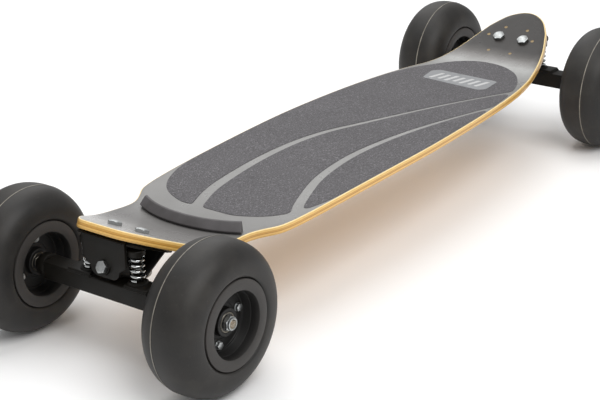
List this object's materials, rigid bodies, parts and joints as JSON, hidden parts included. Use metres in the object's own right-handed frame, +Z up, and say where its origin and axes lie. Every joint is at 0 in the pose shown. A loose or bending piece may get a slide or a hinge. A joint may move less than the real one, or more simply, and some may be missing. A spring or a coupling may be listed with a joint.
{
  "type": "mountain carving board",
  "caption": "Long stand-on board with a kicked nose and tail, sprung leaning trucks and wide pneumatic tyres, for carving downhill on grass or tarmac.",
  "frame": {"origin": "on the ground under the middle of the bounding box, halfway between the axles", "axes": "+X along the board towards the rounded nose, +Y to its left, +Z up"},
  "size_m": [1.3236, 0.4324, 0.2136],
  "materials": {
    "maple_ply": "lacquered maple plywood, printed grey on top",
    "grip_tape": "gritty grip tape",
    "stop_rubber": "matt moulded rubber",
    "tyre_rubber": "smooth slick tyre rubber",
    "rim_plastic": "moulded dark grey plastic",
    "black_steel": "black powder coat",
    "zinc_steel": "bright zinc plate",
    "washer_nylon": "plain nylon"
  },
  "bodies": {
    "board": {"deck": "maple_ply", "grip_left": "grip_tape", "grip_middle": "grip_tape", "grip_right": "grip_tape", "foot_stop": "stop_rubber", "front_bracket": "black_steel", "front_pivot_bolt": "zinc_steel", "front_pivot_nut": "zinc_steel", "front_pivot_washer_outer": "washer_nylon", "front_pivot_washer_inner": "washer_nylon", "front_deck_bolt_left": "zinc_steel", "front_deck_bolt_right": "zinc_steel", "front_deck_nut_left": "zinc_steel", "front_deck_nut_right": "zinc_steel", "front_spring_left": "zinc_steel", "front_spring_right": "zinc_steel", "rear_bracket": "black_steel", "rear_pivot_bolt": "zinc_steel", "rear_pivot_nut": "zinc_steel", "rear_pivot_washer_outer": "washer_nylon", "rear_pivot_washer_inner": "washer_nylon", "rear_deck_bolt_left": "zinc_steel", "rear_deck_bolt_right": "zinc_steel", "rear_deck_nut_left": "zinc_steel", "rear_deck_nut_right": "zinc_steel", "rear_spring_left": "zinc_steel", "rear_spring_right": "zinc_steel"},
    "front_hanger": {"front_hanger": "black_steel", "front_axle_nut_left": "zinc_steel", "front_axle_nut_right": "zinc_steel"},
    "rear_hanger": {"rear_hanger": "black_steel", "rear_axle_nut_left": "zinc_steel", "rear_axle_nut_right": "zinc_steel"},
    "front_left_wheel": {"front_left_tyre": "tyre_rubber", "front_left_rim_outer": "rim_plastic", "front_left_rim_inner": "rim_plastic", "front_left_bearing_outer": "zinc_steel", "front_left_bearing_inner": "zinc_steel"},
    "front_right_wheel": {"front_right_tyre": "tyre_rubber", "front_right_rim_outer": "rim_plastic", "front_right_rim_inner": "rim_plastic", "front_right_bearing_outer": "zinc_steel", "front_right_bearing_inner": "zinc_steel"},
    "rear_left_wheel": {"rear_left_tyre": "tyre_rubber", "rear_left_rim_outer": "rim_plastic", "rear_left_rim_inner": "rim_plastic", "rear_left_bearing_outer": "zinc_steel", "rear_left_bearing_inner": "zinc_steel"},
    "rear_right_wheel": {"rear_right_tyre": "tyre_rubber", "rear_right_rim_outer": "rim_plastic", "rear_right_rim_inner": "rim_plastic", "rear_right_bearing_outer": "zinc_steel", "rear_right_bearing_inner": "zinc_steel"}
  },
  "joints": [
    {"name": "front_truck_lean", "type": "hinge", "parent": "board", "child": "front_hanger", "pos_m": [0.5449, 0, 0.12842], "axis": [0.9063, 0, 0.4226], "range_deg": [-12, 12], "stiffness_Nm_per_rad": 150, "deforming": ["front_spring_left", "front_spring_right"]},
    {"name": "rear_truck_lean", "type": "hinge", "parent": "board", "child": "rear_hanger", "pos_m": [-0.5449, 0, 0.12842], "axis": [-0.9063, 0, 0.4226], "range_deg": [-12, 12], "stiffness_Nm_per_rad": 150, "deforming": ["rear_spring_left", "rear_spring_right"]},
    {"name": "front_left_wheel_spin", "type": "hinge", "parent": "front_hanger", "child": "front_left_wheel", "pos_m": [0.555, 0.1715, 0.10682], "axis": [0, 1, 0], "continuous": true},
    {"name": "front_right_wheel_spin", "type": "hinge", "parent": "front_hanger", "child": "front_right_wheel", "pos_m": [0.555, -0.1715, 0.10682], "axis": [0, 1, 0], "continuous": true},
    {"name": "rear_left_wheel_spin", "type": "hinge", "parent": "rear_hanger", "child": "rear_left_wheel", "pos_m": [-0.555, 0.1715, 0.10682], "axis": [0, 1, 0], "continuous": true},
    {"name": "rear_right_wheel_spin", "type": "hinge", "parent": "rear_hanger", "child": "rear_right_wheel", "pos_m": [-0.555, -0.1715, 0.10682], "axis": [0, 1, 0], "continuous": true}
  ]
}
